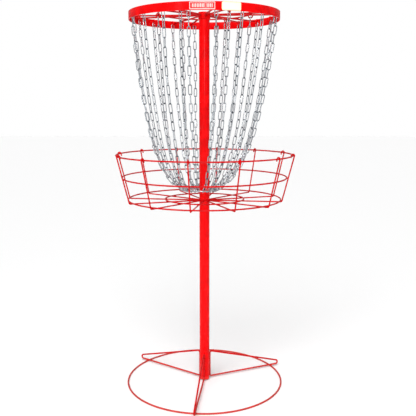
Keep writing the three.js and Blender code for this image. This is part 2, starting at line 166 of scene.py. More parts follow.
class StageSizes(bpy.types.PropertyGroup):
    """The camera and the light."""

    camera_height: length("Camera height", "Height of the camera", 1.057, scale=1)
    camera_distance: length("Camera distance", "From the pole to the camera", 2.387, scale=1)
    camera_aside: length("Camera aside", "How far right the camera stands", 0.0133, scale=1)
    camera_tilt: degrees("Camera tilt", "How far the camera looks down", 9.04)
    lens: plain("Lens", "Focal length in mm on a 36 mm sensor", 55.8)
    sun: plain("Sun", "Strength of the wide overhead light", 3.0)
    ambient: plain("Ambient", "Strength of the light from all round", 0.36)


# ---- Shapes: points and directions along a line ----


def full_turn(count):
    """Evenly spaced angles round a full turn."""
    return np.linspace(0, 2 * math.pi, count, endpoint=False)


def unit(vectors):
    return vectors / np.linalg.norm(vectors, axis=-1, keepdims=True)


def rounded_run(corners, bend, steps=6, closed=False):
    """Points and directions along straight runs with rounded corners.

    Where the run turns by t, the arc of radius b starts b tan(t / 2) before the corner. At angle a along it
    the point is start + b sin(a) before + b (1 - cos(a)) inward, and the direction is cos(a) before +
    sin(a) inward. An open run keeps its two end points, and the arcs worked out there are dropped.
    """
    corners = np.asarray(corners, float)
    bend = np.broadcast_to(np.asarray(bend, float), len(corners))[:, None]
    before = unit(corners - np.roll(corners, 1, axis=0))
    after = np.roll(before, -1, axis=0)
    cosine = np.clip(np.sum(before * after, axis=1, keepdims=True), -1, 1)
    turn = np.arccos(cosine)
    inward = unit(after - before * cosine)
    start = corners - before * bend * np.tan(turn / 2)
    angle = (turn * np.linspace(0, 1, steps + 1))[..., None]
    forward, aside = before[:, None], inward[:, None]
    points = start[:, None] + bend[..., None] * (forward * np.sin(angle) + aside * (1 - np.cos(angle)))
    directions = forward * np.cos(angle) + aside * np.sin(angle)
    size = corners.shape[1]
    if closed:
        return points.reshape(-1, size), directions.reshape(-1, size)
    points = np.vstack([corners[:1], points[1:-1].reshape(-1, size), corners[-1:]])
    directions = np.vstack([after[:1], directions[1:-1].reshape(-1, size), before[-1:]])
    return points, directions


def ring_line(radius, height, steps):
    """Points r (cos a, sin a) at one height, and the directions (-sin a, cos a) there."""
    angle = full_turn(steps)
    points = np.stack([radius * np.cos(angle), radius * np.sin(angle), np.full(steps, height)], axis=1)
    return points, np.stack([-np.sin(angle), np.cos(angle), 0 * angle], axis=1)


def rounded_ends(points, directions, radius, edge, steps=3):
    """The line's cut ends rounded off: the radius is r - e (1 - cos a) at e (1 - sin a) from an end."""
    angle = np.linspace(0, math.pi / 2, steps + 1)
    back = (edge * (1 - np.sin(angle)))[:, None]
    shrunk = radius - edge * (1 - np.cos(angle))
    first = points[0] + directions[0] * back[::-1]
    last = points[-1] - directions[-1] * back
    return (
        np.vstack([first, points[1:-1], last]),
        np.repeat(directions, [steps + 1, *[1] * (len(points) - 2), steps + 1], axis=0),
        np.concatenate([shrunk[::-1], np.full(len(points) - 2, radius), shrunk]),
    )


# ---- Shapes: grids of points ----


def swept(points, directions, normal, radius, sides):
    """A round section carried along a line in a plane: p + r (cos t (d x n) + sin t n), for all t."""
    angle = full_turn(sides)[None, :, None]
    radius = np.broadcast_to(np.asarray(radius, float), len(points))[:, None, None]
    side = np.cross(directions, normal)[:, None]
    return points[:, None] + radius * (np.cos(angle) * side + np.sin(angle) * normal)


def rod(corners, bend, normal, radius, sides=12, edge=None, steps=6):
    """A bent rod with rounded cut ends: a round section carried along rounded runs."""
    points, directions = rounded_run(corners, bend, steps)
    points, directions, radii = rounded_ends(points, directions, radius, edge or radius * 0.4)
    return swept(points, directions, normal, radii, sides)


def turned(outline, sides=72):
    """A profile turned about Z: (r cos a, r sin a, z). It runs down the outside and up the inside."""
    angle = full_turn(sides)
    radius, height = outline[:, :1], outline[:, 1:]
    level = np.broadcast_to(height, (len(outline), sides))
    return np.stack([radius * np.cos(angle), radius * np.sin(angle), level], axis=-1)


def turned_tube(corners, edge, sides=72):
    """A tube from its closed profile of radii and heights, with every corner rounded."""
    return turned(rounded_run(corners, edge, 4, closed=True)[0], sides)


def ball(rings=5, sides=8):
    """A ball of radius 1: (sin u cos v, sin u sin v, cos u). Small end faces close its poles."""
    short = 0.12
    u = np.linspace(short, math.pi - short, rings)[:, None]
    v = full_turn(sides)[None]
    return np.stack([np.sin(u) * np.cos(v), np.sin(u) * np.sin(v), np.cos(u) + 0 * v], axis=-1)


def curved_plate(radius, width, height, corner, lift, across=96, up=24):
    """A thin plate on the band, closed round its edges.

    The face at w along the band and v up it stands at radius + lift(w, v), at the angle w / radius. Near
    its ends the half height is h - c + sqrt(c^2 - (|w| - (width / 2 - c))^2), which rounds the corners.
    """
    w = np.linspace(-width / 2, width / 2, across)
    past = np.clip(np.abs(w) - (width / 2 - corner), 0, corner)
    half = (height / 2 - corner + np.sqrt(corner**2 - past**2))[:, None]
    v = np.linspace(-1, 1, up)[None] * half
    front = radius + lift(w[:, None], v)
    distance = np.concatenate([front, np.full((across, 2), radius)], axis=1)
    level = np.concatenate([v, half, -half], axis=1)
    angle = w[:, None] / radius
    return np.stack([distance * np.cos(angle), distance * np.sin(angle), level], axis=-1), w[:, None], v


def turns(bearings):
    """Rotation matrices that take +X to each bearing."""
    angle = np.radians(np.atleast_1d(bearings) - 90.0)
    cosine, sine, none = np.cos(angle), np.sin(angle), np.zeros(len(angle))
    rows = [[cosine, -sine, none], [sine, cosine, none], [none, none, none + 1]]
    return np.moveaxis(np.array(rows), -1, 0)


def hoop(radius, height, wire, steps=180, sides=12):
    """A round wire's closed hoop about the pole's axis."""
    return swept(*ring_line(radius, height, steps), AXIS, wire, sides)


def copies(grid, bearings):
    """The same grid turned to each bearing."""
    return np.einsum("kab,ijb->kija", turns(bearings), grid)


def beads(places, sizes, bearings, seed):
    """Weld beads at places in every bearing's frame: balls with those half sizes, each varied a little."""
    chance = np.random.default_rng(seed)
    places = np.atleast_2d(places)
    sizes = np.broadcast_to(np.atleast_2d(sizes), places.shape)
    vary = chance.uniform(0.85, 1.15, (len(np.atleast_1d(bearings)), len(places), 1, 1, 3))
    shapes = ball()[None, None] * sizes[None, :, None, None] * vary + places[None, :, None, None]
    made = np.einsum("kab,kpijb->kpija", turns(bearings), shapes)
    return made.reshape(-1, *made.shape[2:])


def joint_bead(radius, height, wire, bearing, seed, proud=0.4 * MM, half=3 * MM):
    """The bead where a hoop's ends are welded together, standing a little proud of its wire."""
    return beads([(radius, 0, height)], [(wire + proud, half, wire + proud)], bearing, seed)


# ---- Pieces ----


class Skins:
    """The closed skins of one piece. Each is a grid of points: rows along it, closed round every row."""

    def __init__(self):
        self.points = []
        self.corners = []
        self.sides = []
        # One mark holds rubbed paint and yellowed paper on the plates, and painted shade at the chain
        # links' ends; the other holds a random tone.
        self.marks = {"rub_and_shade": [], "tone": []}
        self.count = 0

    def add(self, grids, closed=False, rub_and_shade=0.0, tone=0.0):
        """Adds one grid or several. A skin that isn't closed gets an end face on its first and last row."""
        grids = grids if grids.ndim == 4 else grids[None]
        index = self.count + np.arange(grids[..., 0].size).reshape(grids.shape[:3])
        first = index if closed else index[:, :-1]
        second = np.roll(index, -1, axis=1) if closed else index[:, 1:]
        quads = np.stack([first, second, np.roll(second, -1, axis=2), np.roll(first, -1, axis=2)], axis=-1)
        self.corners.append(quads.ravel())
        self.sides.append(np.full(quads.size // 4, 4))
        if not closed:
            ends = np.concatenate([index[:, 0], index[:, -1, ::-1]])
            self.corners.append(ends.ravel())
            self.sides.append(np.full(len(ends), ends.shape[1]))
        self.points.append(grids.reshape(-1, 3))
        self.marks["rub_and_shade"].append(np.broadcast_to(rub_and_shade, index.shape).ravel())
        self.marks["tone"].append(np.broadcast_to(tone, index.shape).ravel())
        self.count += index.size
        return self

    def mesh(self, name):
        points = np.concatenate(self.points)
        corners = np.concatenate(self.corners)
        sides = np.concatenate(self.sides)
        made = bpy.data.meshes.new(name)
        made.vertices.add(len(points))
        made.vertices.foreach_set("co", points.astype(np.float32).ravel())
        made.loops.add(len(corners))
        made.loops.foreach_set("vertex_index", corners.astype(np.int32))
        made.polygons.add(len(sides))
        made.polygons.foreach_set("loop_start", (np.cumsum(sides) - sides).astype(np.int32))
        for mark, values in self.marks.items():
            attribute = made.attributes.new(mark, "FLOAT", "POINT")
            attribute.data.foreach_set("value", np.concatenate(values).astype(np.float32))
        made.update(calc_edges=True)
        made.shade_smooth()
        return made


def make_piece(name, skins, body, stands_for, finish):
    """One finished piece: its mesh and material, the body it rides on and the CAD nodes it stands for."""
    mesh = skins.mesh(name)
    mesh.materials.append(finish)
    piece = bpy.data.objects.new(name, mesh)
    bpy.context.scene.collection.objects.link(piece)
    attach(piece, body)
    if stands_for:
        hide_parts(*stands_for)
    return piece


def make_coated(name, skins, body, stands_for, finish):
    """A piece in one of the red coats."""
    return make_piece(name, skins, body, stands_for, finish)


# ---- Places, read from the frame ----


def cad_points(node):
    mesh = frame["nodes"][node].data
    points = np.empty(3 * len(mesh.vertices), np.float32)
    mesh.vertices.foreach_get("co", points)
    return points.reshape(-1, 3).astype(float)


def reach(node, centre=(0, 0)):
    """The node's smallest and largest distance from the pole's axis, or from another upright axis."""
    across = np.hypot(*(cad_points(node)[:, :2] - centre).T)
    return across.min(), across.max()


def levels(node):
    low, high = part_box(node)
    return low.z, high.z


def hoop_sizes(node, centre=(0, 0)):
    """A hoop's radius, height and wire radius."""
    inner, outer = reach(node, centre)
    low, high = levels(node)
    return (inner + outer) / 2, (low + high) / 2, (outer - inner) / 2


def bearing_of(node):
    """The bearing that a node lies towards, in degrees."""
    x, y, _ = cad_points(node).mean(axis=0)
    return math.degrees(math.atan2(x, -y))


def nodes_of(prefix):
    """The frame's nodes whose names are the prefix and a number, in order."""
    numbers = {name.removeprefix(prefix): name for name in frame["nodes"] if name.startswith(prefix)}
    return [numbers[number] for number in sorted(filter(str.isdigit, numbers), key=int)]


def swing_lines(prefix):
    """The line that each chain with that prefix swings about: the foot of its eye, and a direction."""
    joints = {joint["name"]: joint for joint in frame["joints"]}
    swings = [joints[name + "_swing"] for name in nodes_of(prefix)]
    return np.array([swing["pos_m"] for swing in swings]), np.array([swing["axis"] for swing in swings])


def eyes_of(prefix):
    """The eyes of those chains: their circle's radius, their feet's height and their bearings."""
    x, y, z = swing_lines(prefix)[0].T
    return np.hypot(x, y)[0], z[0], np.degrees(np.arctan2(x, -y))


def chain_ends(prefix, height):
    """Both ends of each chain with that prefix: its eye's foot, and its swing line's place at a height."""
    tops, axes = swing_lines(prefix)
    return tops, tops + axes * ((height - tops[:, 2]) / axes[:, 2])[:, None]


# ---- Finishes ----


def add_node(tree, kind, values=None, links=None):
    """Adds a node: values sets its own settings and its inputs, and links feeds its inputs from outputs."""
    made = tree.nodes.new(kind)
    for key, value in (values or {}).items():
        if isinstance(key, str) and key in made.bl_rna.properties:
            setattr(made, key, value)
        else:
            made.inputs[key].default_value = value
    for key, output in (links or {}).items():
        tree.links.new(output, made.inputs[key])
    return made


def new_finish(name):
    """A material with that name, its emptied node tree, its shader and its object coordinates."""
    material = bpy.data.materials.get(name) or bpy.data.materials.new(name)
    material.use_nodes = True
    tree = material.node_tree
    tree.nodes.clear()
    shader = add_node(tree, "ShaderNodeBsdfPrincipled")
    add_node(tree, "ShaderNodeOutputMaterial", links={"Surface": shader.outputs[0]})
    place = add_node(tree, "ShaderNodeTexCoord").outputs["Object"]
    return material, tree, shader, place


def feed(tree, shader, shade, roughness, normal):
    for name, output in {"Base Color": shade, "Roughness": roughness, "Normal": normal}.items():
        tree.links.new(output, shader.inputs[name])


def per_mm(size):
    """Noise scale, in features a metre, for features of a size in millimetres."""
    return 1 / (size * MM)


def noise(tree, place, size, detail=2.0, roughness=0.5):
    values = {"Scale": per_mm(size), "Detail": detail, "Roughness": roughness}
    return add_node(tree, "ShaderNodeTexNoise", values, {"Vector": place}).outputs[0]


def ranged(tree, value, from_low, from_high, to_low, to_high):
    values = {"From Min": from_low, "From Max": from_high, "To Min": to_low, "To Max": to_high}
    return add_node(tree, "ShaderNodeMapRange", values, {"Value": value}).outputs[0]


def mixed(tree, amount, first, second):
    """A colour between two, each a colour or an output."""
    node = add_node(tree, "ShaderNodeMix", {"data_type": "RGBA"}, {0: amount})
    for number, source in ((6, first), (7, second)):
        if isinstance(source, bpy.types.NodeSocket):
            tree.links.new(source, node.inputs[number])
        else:
            node.inputs[number].default_value = source
    return node.outputs[2]


def attribute(tree, name):
    """A mark that the piece's points carry."""
    return add_node(tree, "ShaderNodeAttribute", {"attribute_name": name}).outputs["Fac"]


def scaled_sum(tree, first, factor, second):
    """first * factor + second."""
    values = {"operation": "MULTIPLY_ADD", 1: factor}
    return add_node(tree, "ShaderNodeMath", values, {0: first, 2: second}).outputs[0]


def stretched(tree, place, times):
    """The place with its height drawn out, so that a pattern on it runs round the piece."""
    return add_node(tree, "ShaderNodeMapping", {"Scale": (1.0, 1.0, times)}, {"Vector": place}).outputs[0]


def bumped(tree, height, distance, strength, below=None):
    links = {"Height": height}
    if below is not None:
        links["Normal"] = below
    values = {"Distance": distance * MM, "Strength": strength}
    return add_node(tree, "ShaderNodeBump", values, links).outputs[0]


def powder_coat(colours, kind="tube", shades=("deep_red", "red"), peel=4.0, waves=30.0, gloss=(0.2, 0.3)):
    """Polyester powder coat, sprayed dry and baked: an even, glossy red with orange peel and soft waves.

    Orange peel is 1 to 2 mm across and is drawn at 4 mm, so that it shows. gloss is the roughness range.
    """
    material, tree, shader, place = new_finish("powder_coat_on_" + kind)
    cloud = noise(tree, place, waves, 3.0)
    deep, full = (tuple(getattr(colours, shade)) for shade in shades)
    body = mixed(tree, ranged(tree, cloud, 0.35, 0.65, 0.0, 1.0), deep, full)
    height = add_node(tree, "ShaderNodeSeparateXYZ", links={0: place}).outputs[2]
    low = ranged(tree, height, 0.0, 0.02, 0.22, 0.0)
    shade = mixed(tree, low, body, tuple(colours.dust))
    skin = bumped(tree, noise(tree, place, peel), 0.35, 0.3, bumped(tree, cloud, 1.2, 0.12))
    feed(tree, shader, shade, ranged(tree, cloud, 0.3, 0.7, *gloss), skin)
    shader.inputs["IOR"].default_value = 1.5
    shader.inputs["Specular IOR Level"].default_value = 0.1
    return material


def shaded_wire_coat(colours):
    """The same coat on rod and wire, in deeper reds: painted shade for how thin round rods and wires read
    darker.
    """
    return powder_coat(colours, "wire", ("shaded_deep_wire_red", "shaded_wire_red"), 4.0, 20.0, (0.24, 0.38))


def coated_weld(colours):
    """The same coat over weld metal: close ripples, so a broken, duller gloss."""
    # Painted shade: the beads take the wire's deeper reds.
    return powder_coat(colours, "weld", ("shaded_deep_wire_red", "shaded_wire_red"), 1.6, 6.0, (0.36, 0.52))


def zinc_links(colours):
    """Bright electro-zinc on bent, welded steel wire: silvery, dulled in random patches, with painted shade
    darkening each link's ends where it meets the next.
    """
    material, tree, shader, place = new_finish("zinc_plated_chain")
    spots = noise(tree, place, 5.0, 3.0)
    dulled = scaled_sum(tree, spots, 0.55, attribute(tree, "tone"))
    # Painted shade: the link-end mark darkens the zinc where links meet.
    dark = scaled_sum(tree, attribute(tree, "rub_and_shade"), 0.75, dulled)
    amount = ranged(tree, dark, 0.2, 1.1, 0.0, 1.0)
    shade = mixed(tree, amount, tuple(colours.zinc), tuple(colours.dull_and_shaded_zinc))
    skin = bumped(tree, noise(tree, place, 1.5), 0.15, 0.25)
    feed(tree, shader, shade, ranged(tree, dark, 0.2, 1.0, 0.2, 0.5), skin)
    shader.inputs["Metallic"].default_value = 1.0
    return material


def zinc_ring(colours):
    """Bright electro-zinc on a bent steel ring, rubbed where the chains' end links slide."""
    material, tree, shader, place = new_finish("zinc_plated_ring")
    wear = noise(tree, stretched(tree, place, 6.0), 9.0, 3.0)
    amount = ranged(tree, wear, 0.35, 0.7, 0.1, 0.8)
    shade = mixed(tree, amount, tuple(colours.zinc), tuple(colours.dull_and_shaded_zinc))
    skin = bumped(tree, noise(tree, place, 2.0), 0.2, 0.3)
    feed(tree, shader, shade, ranged(tree, wear, 0.3, 0.7, 0.25, 0.5), skin)
    shader.inputs["Metallic"].default_value = 1.0
    return material


def embossed_paint(colours):
    """Thin pressed sheet, painted red and rubbed back so that its raised faces read pale."""
    material, tree, shader, place = new_finish("painted_embossed_sheet")
    grain = noise(tree, place, 3.0, 4.0, 0.6)
    amount = ranged(tree, scaled_sum(tree, grain, 0.35, attribute(tree, "rub_and_shade")), 0.55, 1.0, 0.0, 1.0)
    shade = mixed(tree, amount, tuple(colours.red), tuple(colours.rubbed))
    feed(tree, shader, shade, ranged(tree, grain, 0.3, 0.7, 0.25, 0.4), bumped(tree, grain, 0.1, 0.3))
    return material


def label_paper(colours):
    """Uncoated label paper: matt cream, yellower at its edges, with fibres drawn 1.5 mm wide to show."""
    material, tree, shader, place = new_finish("cream_label_paper")
    fibre = noise(tree, stretched(tree, place, 3.0), 1.5, 4.0, 0.7)
    amount = ranged(tree, scaled_sum(tree, fibre, 0.4, attribute(tree, "rub_and_shade")), 0.15, 1.0, 0.0, 1.0)
    shade = mixed(tree, amount, tuple(colours.cream), tuple(colours.cream_edge))
    feed(tree, shader, shade, ranged(tree, fibre, 0.3, 0.7, 0.55, 0.75), bumped(tree, fibre, 0.08, 0.4))
    return material


def studio_floor(colours):
    """Seamless studio paper: matt, almost white, with a barely visible mottle."""
    material, tree, shader, place = new_finish("studio_paper")
    mottle = ranged(tree, noise(tree, place, 300.0), 0.3, 0.7, 0.0, 1.0)
    shade = mixed(tree, mottle, tuple(colours.floor), (0.93, 0.93, 0.93, 1.0))
    tree.links.new(shade, shader.inputs["Base Color"])
    shader.inputs["Roughness"].default_value = 0.8
    shader.inputs["Specular IOR Level"].default_value = 0.1
    return material


# ---- Operators ----


class BasketOperator:
    """What the operators share: their options, and a test that the frame has the nodes they need."""

    bl_options = {"REGISTER", "UNDO"}
    needs = ()

    def execute(self, context):
        missing = [node for node in self.needs if node not in frame["nodes"]]
        if missing:
            raise RuntimeError(f"the frame has no {', '.join(missing)}")
        self.build(context.scene)
        return {"FINISHED"}


class BASKET_OT_base_rods(BasketOperator, bpy.types.Operator):
    """Build the rod ring on the ground, the three loops that stand on it and their welds"""

    bl_idname = "disc_basket.base_rods"
    bl_label = "Ring Base"
    needs = ("base_ring", "base_loop_1", "base_tube")

    def build(self, scene):
        sizes, coat = scene.basket_sizes, shaded_wire_coat(scene.basket_finishes)
        radius, height, wire = hoop_sizes("base_ring")
        ring = Skins().add(hoop(radius, height, wire, sides=14), closed=True)
        make_coated("ring", ring, "base", ["base_ring"], coat)

        rod_radius = sizes.base_rod / 2
        pole = reach("base_tube")[1]
        inside = pole + sizes.gap + rod_radius
        outside = reach("base_loop_1")[1] - rod_radius
        low = 2 * wire + sizes.gap + rod_radius
        below_rim = 1 * MM
        high = levels("base_tube")[1] - below_rim
        meeting = (low + high) / 2
        corners = [
            (inside, 0, meeting + sizes.gap),
            (inside, 0, high),
            (outside, 0, low + sizes.loop_rise),
            (outside, 0, low),
            (inside, 0, low),
            (inside, 0, meeting - sizes.gap),
        ]
        loop = rod(corners, sizes.loop_bend, SIDEWAYS, rod_radius, sides=14)
        names = nodes_of("base_loop_")
        bearings = [bearing_of(name) for name in names]
        make_coated("loops", Skins().add(copies(loop, bearings)), "base", names, coat)

        on_tube = pole + 0.6 * MM
        past_bend = sizes.loop_bend + 8 * MM
        places = [
            (on_tube, 0, low + past_bend),
            (inside, 0, meeting),
            (on_tube, 0, high - past_bend),
            (radius, 0, 2 * wire),
        ]
        seam = (1.6 * MM, 3.0 * MM, 9 * MM)
        butt = (rod_radius + 0.5 * MM, rod_radius + 0.5 * MM, 3 * MM)
        foot = (5.0 * MM, 4.6 * MM, 1.8 * MM)
        off_ground = 1 * MM
        joint = joint_bead(radius, height + off_ground, wire, 173.0, 3, proud=0.3 * MM)
        welds = Skins().add(beads(places, [seam, butt, seam, foot], bearings, 2)).add(joint)
        make_coated("base_welds", welds, "base", [], coated_weld(scene.basket_finishes))


class BASKET_OT_pole(BasketOperator, bpy.types.Operator):
    """Build the base tube, the lower pole with its spigot, the hub with its socket and the upper pole"""

    bl_idname = "disc_basket.pole"
    bl_label = "Pole"
    needs = ("base_tube", "lower_pole", "basket_hub", "upper_pole")

    def tube(self, scene, name, body, node, outline):
        """One tube from its closed profile of radii and heights."""
        skins = Skins().add(turned_tube(outline, scene.basket_sizes.edge), closed=True)
        make_coated(name, skins, body, [node], powder_coat(scene.basket_finishes))

    def build(self, scene):
        sizes = scene.basket_sizes
        bore, pole = reach("base_tube")
        foot, top = levels("base_tube")
        outline = [(bore, top), (pole, top), (pole, foot), (bore, foot)]
        self.tube(scene, "standing_tube", "base", "base_tube", outline)

        spigot = bore - sizes.gap
        shoulder = top + sizes.gap
        foot, top = levels("lower_pole")
        spigot_bore = spigot - sizes.wall
        throat = shoulder + sizes.wall
        outside = [(bore, top), (pole, top), (pole, shoulder), (spigot, shoulder), (spigot, foot)]
        outline = [*outside, (spigot_bore, foot), (spigot_bore, throat), (bore, throat)]
        self.tube(scene, "pole_lower", "basket", "lower_pole", outline)

        ledge = reach("basket_hub")[0]
        upper_bore = reach("upper_pole")[0]
        upper_spigot = upper_bore + sizes.wall
        socket = upper_spigot + sizes.gap
        hub_foot = top + sizes.gap
        foot, top = levels("basket_hub")
        seat = levels("upper_pole")[0] - sizes.gap
        outside = [(socket, top), (pole, top), (pole, hub_foot), (spigot, hub_foot), (spigot, foot)]
        outline = [*outside, (ledge, foot), (ledge, seat), (socket, seat)]
        self.tube(scene, "hub", "basket", "basket_hub", outline)

        shoulder = top + sizes.gap
        throat = shoulder + sizes.wall
        foot, top = levels("upper_pole")
        outside = [(bore, top), (pole, top), (pole, shoulder), (upper_spigot, shoulder)]
        inside = [(upper_bore, foot), (upper_bore, throat), (bore, throat)]
        outline = [*outside, (upper_spigot, foot), *inside]
        self.tube(scene, "pole_upper", "head", "upper_pole", outline)


class BASKET_OT_wire_basket(BasketOperator, bpy.types.Operator):
    """Build the basket's hoops, floor ring, hooked wires and welds"""

    bl_idname = "disc_basket.wire_basket"
    bl_label = "Wire Basket"
    needs = ("basket_rim", "middle_hoop", "lower_hoop", "floor_ring", "basket_wire_1", "basket_hub")

    def build(self, scene):
        sizes, coat = scene.basket_sizes, shaded_wire_coat(scene.basket_finishes)
        hoops = {name: hoop_sizes(name) for name in self.needs[:4]}
        for name, measures in hoops.items():
            skins = Skins().add(hoop(*measures), closed=True)
            make_coated(name.removeprefix("basket_") + "_wire", skins, "basket", [name], coat)

        rim, rim_height, rim_wire = hoops["basket_rim"]
        low, low_height, _ = hoops["lower_hoop"]
        wire = sizes.wire / 2
        hub = reach("basket_hub")[1]
        bend = rim_wire + wire + sizes.gap
        spoke_height = low_height - bend
        lean = math.atan2(rim - low, rim_height - low_height)
        up = np.array([math.sin(lean), 0, math.cos(lean)])
        out = np.array([math.cos(lean), 0, -math.sin(lean)])
        at_rim = np.array([rim, 0, rim_height])
        side = at_rim + out * bend
        corners = [
            at_rim - out * bend - up * sizes.hook_tail,
            at_rim - out * bend + up * bend,
            at_rim + out * bend + up * bend,
            (side[0] - (side[2] - spoke_height) * math.tan(lean), 0, spoke_height),
            (hub + sizes.gap, 0, spoke_height),
        ]
        names = nodes_of("basket_wire_")
        bearings = [bearing_of(name) for name in names]
        wires = Skins().add(copies(rod(corners, bend, SIDEWAYS, wire, steps=8), bearings))
        make_coated("hooked_wires", wires, "basket", names, coat)

        middle, middle_height, hoop_wire = hoops["middle_hoop"]
        floor, floor_height, floor_wire = hoops["floor_ring"]
        under = unit(np.array([1.0, 0, -1.0]))
        touch = hoop_wire + sizes.gap / 2
        places = [
            at_rim + out * touch,
            np.array([middle, 0, middle_height]) + out * touch,
            np.array([low, 0, low_height]) + under * touch,
            (floor, 0, floor_height - floor_wire - sizes.gap / 2),
            (hub + 0.4 * MM, 0, spoke_height),
        ]
        weld, root = sizes.weld, wire + 1.5 * MM
        shapes = [
            (1.4 * MM, 3.2 * MM, 3.6 * MM),
            (1.6 * MM, weld, weld),
            (2.2 * MM, weld, 2.2 * MM),
            (weld, weld, 1.4 * MM),
            (1.6 * MM, root, root),
        ]
        first, apart = 165.0, 6
        joints = [
            joint_bead(*measures, first + apart * number, number)
            for number, measures in enumerate(hoops.values())
        ]
        welds = Skins().add(beads(places, shapes, bearings, 5)).add(np.concatenate(joints))
        make_coated("basket_welds", welds, "basket", [], coated_weld(scene.basket_finishes))


class BASKET_OT_head(BasketOperator, bpy.types.Operator):
    """Build the band with its eyes, the inner eye ring, the arms, the cap and their welds"""

    bl_idname = "disc_basket.head"
    bl_label = "Chain Head"
    needs = ("chain_band", "inner_eye_ring", "head_arm_1", "head_cap")

    def build(self, scene):
        sizes, coat = scene.basket_sizes, powder_coat(scene.basket_finishes)
        outside = reach("chain_band")[1]
        thick = 3 * MM
        inside = outside - thick
        foot, top = levels("chain_band")
        eye_line, eye_directions = ring_line(sizes.eye, 0, 20)
        upright = np.array([[1, 0, 0], [0, 0, -1], [0, 1, 0]], float)
        eye = swept(eye_line @ upright.T, eye_directions @ upright.T, -SIDEWAYS, sizes.eye_wire / 2, 10)

        outer_circle, eye_foot, outer_bearings = eyes_of("outer_chain_")
        eye_height = eye_foot + sizes.eye
        outline = [(inside, top), (outside, top), (outside, foot), (inside, foot)]
        band = Skins().add(turned_tube(outline, sizes.edge, 180), closed=True)
        band.add(copies(eye + (outer_circle, 0, eye_height), outer_bearings), closed=True)
        make_coated("band", band, "head", ["chain_band"], coat)

        inner_circle, _, inner_bearings = eyes_of("inner_chain_")
        ring_height = eye_height + sizes.eye
        ring_wire = sizes.inner_ring_wire / 2
        ring = Skins().add(hoop(inner_circle, ring_height, ring_wire, steps=120), closed=True)
        ring.add(copies(eye + (inner_circle, 0, eye_height), inner_bearings), closed=True)
        shaded_rod_coat = shaded_wire_coat(scene.basket_finishes)
        make_coated("inner_ring", ring, "head", ["inner_eye_ring"], shaded_rod_coat)

        names = nodes_of("head_arm_")
        arm_bearings = [bearing_of(name) for name in names]
        points = cad_points(names[0]) @ turns(arm_bearings[0])[0]
        leg = points[points[:, 1] > points[:, 1].max() - sizes.arm_rod].mean(axis=0)
        cap = reach("head_cap")[1]
        arm_radius = sizes.arm_rod / 2
        bent = cap + sizes.gap + arm_radius
        half = sizes.arm_width / 2
        corners = [(leg[0], -leg[1]), (bent, -half), (bent, half), (leg[0], leg[1])]
        corners = [(x, y, leg[2]) for x, y in corners]
        arms = Skins().add(copies(rod(corners, sizes.arm_bend, AXIS, arm_radius), arm_bearings))
        make_coated("arms", arms, "head", names, shaded_rod_coat)

        cap_foot, cap_top = levels("head_cap")
        bore = reach("upper_pole")[1] + sizes.gap
        roof = levels("upper_pole")[1] + sizes.gap
        pin = 1 * MM
        crown = [(pin, cap_top), (cap * 0.6, cap_top - 0.3 * MM), (cap, cap_top - 1.2 * MM)]
        outline = [*crown, (cap, cap_foot), (bore, cap_foot), (bore, roof), (pin, roof)]
        bends = np.array([0.8, 6.4, 1.6, 0.8, 0.8, 0.64, 0.8]) * MM
        dome = Skins().add(turned(rounded_run(outline, bends, 4)[0]))
        make_coated("cap", dome, "head", ["head_cap"], coat)

        crossing = half + (leg[1] - half) * (inner_circle - bent) / (leg[0] - bent)
        at_band = leg[0] + 1 * MM
        over_arm = leg[2] + arm_radius
        places = [
            (at_band, leg[1], leg[2]),
            (at_band, -leg[1], leg[2]),
            (cap + 0.8 * MM, 0, leg[2]),
            (inner_circle, crossing, over_arm),
            (inner_circle, -crossing, over_arm),
        ]
        tip = (3 * MM, arm_radius + 1.4 * MM, arm_radius + 1.4 * MM)
        root = (1.8 * MM, half, arm_radius + 1 * MM)
        tack = (sizes.weld, sizes.weld, 1.4 * MM)
        arm_welds = beads(places, [tip, tip, root, tack, tack], arm_bearings, 8)
        eye_bead = [(1.8 * MM, 3.4 * MM, 4.6 * MM)]
        eye_welds = beads([(inside, 0, eye_height)], eye_bead, outer_bearings, 9)
        ring_bead = [(3.1 * MM, 4.6 * MM, 3.1 * MM)]
        ring_welds = beads([(inner_circle, 0, ring_height)], ring_bead, inner_bearings, 10)
        seam = [(1.3 * MM, 1.8 * MM, (top - foot) / 2)]
        lap = beads([(outside - 0.6 * MM, 0, (foot + top) / 2)], seam, 180.0, 11)
        welds = Skins().add(arm_welds).add(eye_welds).add(ring_welds).add(lap)
        make_coated("head_welds", welds, "head", [], coated_weld(scene.basket_finishes))


